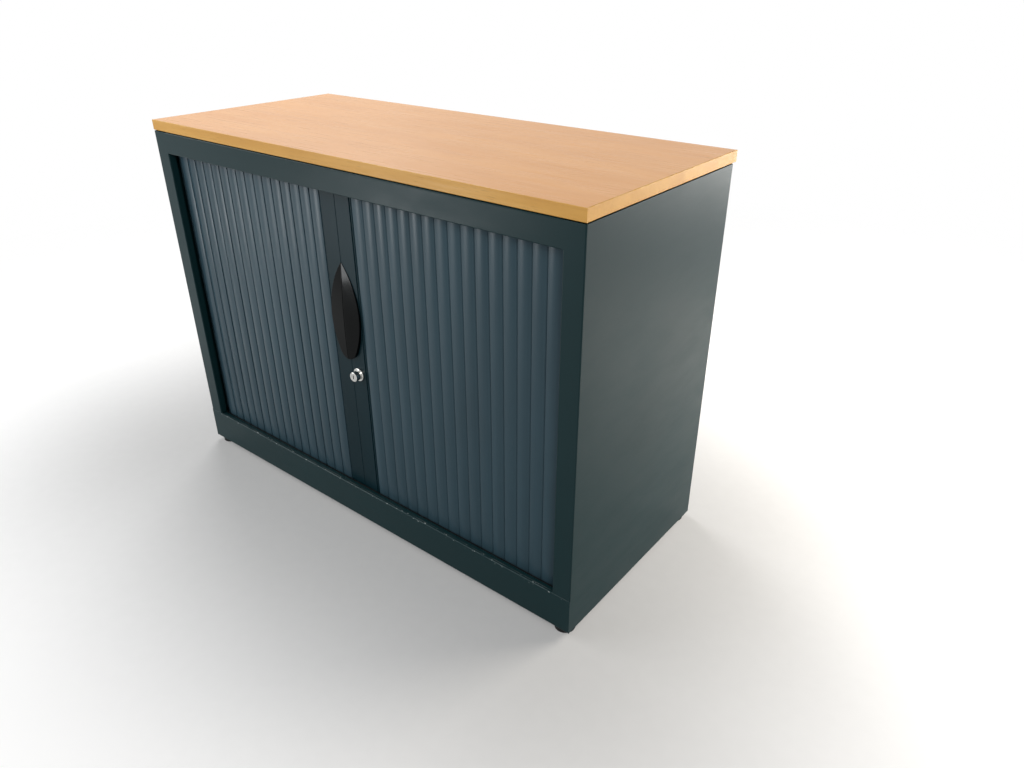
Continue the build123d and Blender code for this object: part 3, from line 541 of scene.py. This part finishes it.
class CABINET_OT_curtains(bpy.types.Operator):
    """Build the slats across the front as flat rows on the two doors; the real slats bunch up at
    the corner as a door opens
    """

    bl_idname = "cabinet.curtains"
    bl_label = "Slats across the front"

    def execute(self, context):
        sizes, colours = context.scene.cabinet_sizes, context.scene.cabinet_colours
        outline = slat_outline(sizes)
        plastic = drawn_plastic("slat_plastic", colours.slat, pitch=sizes.slat_pitch)
        low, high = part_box("right_curtain")
        start = low.x + sizes.bead_radius
        count = round((high.x - start) / sizes.slat_pitch)
        places = [(start + n * sizes.slat_pitch, HINGE_Y, 0.0) for n in range(count)]
        for name, side in SIDES.items():
            bows = row_bows(count, sizes.slat_bow, BOW_SEEDS[name])
            made = piece(
                f"{name}_slats",
                *standing_row(outline, places, bows, low.z, high.z, BOWED_LEVELS, side),
            )
            cover(made, f"{name}_door", "slat_plastic", plastic, f"{name}_curtain")
            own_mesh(made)
        return {"FINISHED"}


class CABINET_OT_tails(bpy.types.Operator):
    """Build the slats that turn round the front corners and run back inside the sides"""

    bl_idname = "cabinet.tails"
    bl_label = "Slats round the corners"

    def execute(self, context):
        sizes, colours = context.scene.cabinet_sizes, context.scene.cabinet_colours
        outline = slat_outline(sizes)
        plastic = drawn_plastic("tail_plastic", colours.slat, pitch=sizes.slat_pitch)
        low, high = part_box("right_curtain_tail")
        step = pi / 2 / sizes.corner_slats
        bend = sizes.slat_pitch / (2 * sin(step / 2))
        bend_x = low.x + sizes.bead_radius
        places = [
            (bend_x + bend * sin(n * step), HINGE_Y + bend * (1 - cos(n * step)), (n + 0.5) * step)
            for n in range(sizes.corner_slats)
        ]
        places += [
            (bend_x + bend, HINGE_Y + bend + n * sizes.slat_pitch, pi / 2)
            for n in range(sizes.tail_slats)
        ]
        straight = [0.0] * len(places)
        for name, side in SIDES.items():
            made = piece(
                f"{name}_corner_slats",
                *standing_row(outline, places, straight, low.z, high.z, STRAIGHT_LEVELS, side),
            )
            cover(made, "cabinet", "slat_plastic", plastic, f"{name}_curtain_tail")
        return {"FINISHED"}


class CABINET_OT_grips(bpy.types.Operator):
    """Build the two halves of the leaf-shaped grip"""

    bl_idname = "cabinet.grips"
    bl_label = "Grip halves"

    def execute(self, context):
        sizes, colours = context.scene.cabinet_sizes, context.scene.cabinet_colours
        plastic = glossy_grip("grip_plastic", colours.grip)
        for name, side in SIDES.items():
            made = piece(f"{name}_grip", *half_grip(sizes, side), merge=0.000002)
            cover(made, f"{name}_door", "grip_plastic", plastic, f"{name}_handle")
        return {"FINISHED"}


class CABINET_OT_laths(bpy.types.Operator):
    """Finish the two closing laths"""

    bl_idname = "cabinet.laths"
    bl_label = "Closing laths"

    def execute(self, context):
        plastic = drawn_plastic("lath_plastic", context.scene.cabinet_colours.lath, 0.30, 0.09)
        dress(plastic, "left_lath", "right_lath")
        return {"FINISHED"}


class CABINET_OT_lock(bpy.types.Operator):
    """Finish the push lock"""

    bl_idname = "cabinet.lock"
    bl_label = "Push lock"

    def execute(self, context):
        chrome = plated_metal("lock_chrome", context.scene.cabinet_colours.chrome, 0.10, 0.0)
        dress(chrome, "lock_collar", "lock_plunger", "lock_plug")
        return {"FINISHED"}


class CABINET_OT_case(bpy.types.Operator):
    """Paint the outside of the steel case"""

    bl_idname = "cabinet.case"
    bl_label = "Steel case"

    def execute(self, context):
        colours = context.scene.cabinet_colours
        paint = painted_steel("case_paint", colours.paint, colours.wear_and_highlight)
        dress(paint, "left_side_panel", "right_side_panel", "top_rail", "back_panel")
        ledge = painted_steel("ledge_paint", colours.paint, colours.wear_and_highlight, ledge_wear_and_highlights=True)
        dress(ledge, "plinth")
        return {"FINISHED"}


class CABINET_OT_inside(bpy.types.Operator):
    """Paint the lining, decks and shelf"""

    bl_idname = "cabinet.inside"
    bl_label = "Inside"

    def execute(self, context):
        colours = context.scene.cabinet_colours
        paint = painted_steel("inside_paint", colours.inside, colours.wear_and_highlight)
        dress(
            paint, "top_plate", "base_deck", "ceiling_deck", "floor_pan", "left_liner",
            "right_liner", "inner_back_panel", "shelf",
        )
        return {"FINISHED"}


class CABINET_OT_board(bpy.types.Operator):
    """Finish the wooden top board and its edging"""

    bl_idname = "cabinet.board"
    bl_label = "Wooden board"

    def execute(self, context):
        colours = context.scene.cabinet_colours
        top = boarded_wood("board_wood", colours.wood, colours.wood_dark, 1.0, 0.20, 0.30)
        dress(top, "top_board")
        edge = boarded_wood("edging_wood", colours.edging, colours.edging_dark, 2.0, 0.5, 0.38)
        dress(edge, "board_edging")
        return {"FINISHED"}


class CABINET_OT_tracks(bpy.types.Operator):
    """Finish the door tracks and the glides"""

    bl_idname = "cabinet.tracks"
    bl_label = "Tracks and glides"

    def execute(self, context):
        plastic = grained_plastic("black_plastic", context.scene.cabinet_colours.black)
        dress(
            plastic, "front_tracks", "front_corner_guides", "side_tracks", "rear_corner_guides",
            "front_left_glide", "front_right_glide", "rear_left_glide", "rear_right_glide",
        )
        return {"FINISHED"}


class CABINET_OT_fittings(bpy.types.Operator):
    """Finish the screws, clips, brackets and lock fittings"""

    bl_idname = "cabinet.fittings"
    bl_label = "Plated fittings"

    def execute(self, context):
        zinc = plated_metal("zinc_plate", context.scene.cabinet_colours.zinc, 0.30, 0.6)
        dress(
            zinc, "shelf_clips", "foot_brackets", "board_screws", "back_screws",
            "left_handle_screws", "right_handle_screws", "keeper", "keeper_screws", "lock_nut",
        )
        return {"FINISHED"}


# ---------------------------------------------------------------- stage
CAMERA_PLACE = (1.0121, -1.0078, 0.9839)
CAMERA_AZIMUTH, CAMERA_ELEVATION, CAMERA_ROLL = 38.509, 28.263, -0.075
CAMERA_LENS, SENSOR_WIDTH = 27.474, 36.0
FLOOR_START, FLOOR_FADE, FLOOR_EDGE = 0.05, 1.0, 2.6  # radii from the middle
FLOOR_RINGS, FLOOR_SPOKES = 24, 96
FLOOR_LIFT = 0.62  # strength of the floor's glow away from the cabinet
PAINTED_SHADOW_REACH, PAINTED_SHADOW_LIFT = 0.75, 0.28  # where the painted shadow round the cabinet gives way to the full glow, and the glow's share at the cabinet, which paints the floor darker there
AMBIENT = 0.18  # even light of the world
LAMPS = (  # name, place, the point it faces, width and height, power, tint
    ("left", (-2.3, -1.0, 1.9), (-0.2, 0, 0.5), (1.3, 1.3), 18, (1.0, 0.99, 0.97)),
    ("back_left", (-1.7, 1.0, 2.5), (0, 0, 0.4), (1.2, 1.2), 38, (1.0, 0.99, 0.98)),
    ("front", (-1.3, -1.7, 1.5), (-0.3, -0.2, 0.6), (0.9, 0.9), 8, (0.94, 0.98, 1.0)),
    ("low_left", (-1.15, -1.6, 0.16), (0, -0.2, 0.5), (0.5, 0.24), 6, (0.95, 0.98, 1.0)),
    ("right", (1.9, -1.7, 2.1), (0.1, -0.2, 0.4), (1.0, 1.0), 24, (1.0, 0.98, 0.95)),
    ("low_back", (1.75, 2.35, 0.42), (0.5, 0.1, 0.42), (1.8, 0.75), 26, (1.0, 0.98, 0.94)),
    ("pool", (1.25, 1.2, 0.85), (1.2, 1.1, 0), (0.9, 0.9), 38, (1.0, 0.93, 0.83)),
)


def lamp(name, place, target, size, energy, tint):
    """A soft lamp, so wide and so high, that faces a point. The camera doesn't see it."""
    data = bpy.data.lights.new(name, "AREA")
    data.shape = "RECTANGLE"
    data.size, data.size_y = size
    data.energy = energy
    data.color = tint
    thing = bpy.data.objects.new(name, data)
    bpy.context.scene.collection.objects.link(thing)
    aim = np.array(target) - np.array(place)
    across = sqrt(aim[0] ** 2 + aim[1] ** 2)
    thing.location = place
    thing.rotation_euler = (atan2(across, -aim[2]), 0, atan2(-aim[0], aim[1]))
    thing.visible_camera = False


def floor_disc(base, lift):
    """The floor, a flat disc: x and y are the radius times the cosine and sine of the angle."""
    radius = np.linspace(FLOOR_START, FLOOR_EDGE, FLOOR_RINGS)[:, None]
    angle = np.linspace(0, 2 * pi, FLOOR_SPOKES, endpoint=False)[None, :]
    flat = np.zeros(np.broadcast(radius, angle).shape)
    points = np.stack([radius * np.cos(angle), radius * np.sin(angle), flat], -1).reshape(-1, 3)
    index = np.arange(len(points)).reshape(flat.shape)
    after = np.roll(index, -1, axis=1)
    quads = np.stack([index[:-1], index[1:], after[1:], after[:-1]], -1).reshape(-1, 4)
    floor = piece("floor", points, [*quads.tolist(), index[0].tolist()])
    floor.data.materials.append(floor_material(base, lift))
    return floor


def floor_material(base, lift):
    """Pale floor that keeps the cabinet's shadow and clears to the white world far out.

    What the camera, a reflection or glass sees of it is lifted by a glow, which lights nothing.
    The glow is weakest at the cabinet's footprint and grows with the distance from it, the root of
    the sum of the squares of how far x and y lie past its half sizes: the real shadow stays, and a
    painted shadow darkens the floor round the cabinet.
    """
    recipe = Recipe("floor_pale")
    speck = recipe.noise((40, 40, 40), 3)
    tone = recipe.mix(recipe.between(speck, 0.3, 0.7), shade(base, 0.99), shade(base, 1.01))
    path = recipe.node("ShaderNodeLightPath")
    seen = recipe.maths("MAXIMUM", path.outputs["Is Camera Ray"], path.outputs["Is Glossy Ray"])
    seen = recipe.maths("MAXIMUM", seen, path.outputs["Is Transmission Ray"])
    squares = 0.0
    for at, half in zip((recipe.x, recipe.y), CAD_BOX[1]):
        past = recipe.maths("SUBTRACT", recipe.maths("ABSOLUTE", at), half)
        past = recipe.maths("MAXIMUM", past, 0.0)
        squares = recipe.maths("MULTIPLY_ADD", past, past, squares)
    apart = recipe.maths("SQRT", squares)
    # painted shadow: the glow is lower near the cabinet, so the floor round it is darker than its
    # lamps make it
    glow = recipe.between(apart, 0, PAINTED_SHADOW_REACH, PAINTED_SHADOW_LIFT * lift, lift)
    glow = recipe.maths("MULTIPLY", glow, seen)
    surface = recipe.finish(
        Base_Color=tone,
        Roughness=0.8,
        Specular_IOR_Level=0.1,
        Emission_Color=(1, 1, 1),
        Emission_Strength=glow,
    )
    away = recipe.node("ShaderNodeVectorMath", {0: recipe.place}, operation="LENGTH")
    fade = recipe.between(away.outputs["Value"], FLOOR_FADE, FLOOR_EDGE)
    clear = recipe.node("ShaderNodeBsdfTransparent")
    blend = recipe.node(
        "ShaderNodeMixShader",
        {
            0: recipe.maths("MULTIPLY", fade, seen),
            1: recipe.shader.outputs[0],
            2: clear.outputs[0],
        },
    )
    output = recipe.tree.nodes["Material Output"]
    recipe.tree.links.new(blend.outputs[0], output.inputs["Surface"])
    return surface


def white_world(ambient):
    """White to the camera and in reflections, and a soft even light on the cabinet."""
    world = bpy.data.worlds.new("studio")
    bpy.context.scene.world = world
    world.use_nodes = True
    tree = world.node_tree
    path = tree.nodes.new("ShaderNodeLightPath")
    seen = tree.nodes.new("ShaderNodeMath")
    seen.operation = "MAXIMUM"
    tree.links.new(path.outputs["Is Camera Ray"], seen.inputs[0])
    through = tree.nodes.new("ShaderNodeMath")
    through.operation = "MAXIMUM"
    tree.links.new(path.outputs["Is Glossy Ray"], through.inputs[0])
    tree.links.new(path.outputs["Is Transmission Ray"], through.inputs[1])
    tree.links.new(through.outputs[0], seen.inputs[1])
    level = tree.nodes.new("ShaderNodeMapRange")
    level.inputs["To Min"].default_value = ambient
    tree.links.new(seen.outputs[0], level.inputs["Value"])
    background = tree.nodes["Background"]
    background.inputs["Color"].default_value = (1, 1, 1, 1)
    tree.links.new(level.outputs["Result"], background.inputs["Strength"])


def place_camera():
    """The camera, aimed by its azimuth and elevation and then rolled about its own axis."""
    data = bpy.data.cameras.new("camera")
    data.lens = CAMERA_LENS
    data.sensor_width = SENSOR_WIDTH
    thing = bpy.data.objects.new("camera", data)
    bpy.context.scene.collection.objects.link(thing)
    aim = Euler((radians(90 - CAMERA_ELEVATION), 0, radians(CAMERA_AZIMUTH))).to_matrix()
    turned = aim @ Matrix.Rotation(radians(CAMERA_ROLL), 3, "Z")
    thing.matrix_world = Matrix.Translation(CAMERA_PLACE) @ turned.to_4x4()
    return thing


class CABINET_OT_stage(bpy.types.Operator):
    """Set up the floor, the lamps, the world and the camera"""

    bl_idname = "cabinet.stage"
    bl_label = "Stage"

    def execute(self, context):
        floor_disc(context.scene.cabinet_colours.floor, FLOOR_LIFT)
        for settings in LAMPS:
            lamp(*settings)
        white_world(AMBIENT)
        context.scene.view_settings.view_transform = "Standard"
        context.scene.camera = place_camera()
        return {"FINISHED"}


# ---------------------------------------------------------------- add-on
OPERATORS = (
    CABINET_OT_curtains,
    CABINET_OT_tails,
    CABINET_OT_grips,
    CABINET_OT_laths,
    CABINET_OT_lock,
    CABINET_OT_case,
    CABINET_OT_inside,
    CABINET_OT_board,
    CABINET_OT_tracks,
    CABINET_OT_fittings,
    CABINET_OT_stage,
)


class CABINET_PT_sidebar(bpy.types.Panel):
    """Lists the cabinet's pieces in the sidebar"""

    bl_idname = "CABINET_PT_sidebar"
    bl_label = "Roll front cabinet"
    bl_space_type = "VIEW_3D"
    bl_region_type = "UI"
    bl_category = "Cabinet"

    def draw(self, context):
        for group in (context.scene.cabinet_sizes, context.scene.cabinet_colours):
            column = self.layout.column(align=True)
            for name in group.__annotations__:
                column.prop(group, name)
        for operator in OPERATORS:
            self.layout.operator(operator.bl_idname)


CLASSES = (CabinetSizes, CabinetColours, *OPERATORS, CABINET_PT_sidebar)


def register():
    for kind in CLASSES:
        bpy.utils.register_class(kind)
    bpy.types.Scene.cabinet_sizes = PointerProperty(type=CabinetSizes)
    bpy.types.Scene.cabinet_colours = PointerProperty(type=CabinetColours)


def unregister():
    del bpy.types.Scene.cabinet_colours
    del bpy.types.Scene.cabinet_sizes
    for kind in reversed(CLASSES):
        bpy.utils.unregister_class(kind)


def main():
    """Build every piece."""
    register()
    for operator in OPERATORS:
        group, name = operator.bl_idname.split(".")
        getattr(getattr(bpy.ops, group), name)()


if __name__ == "__main__":
    main()
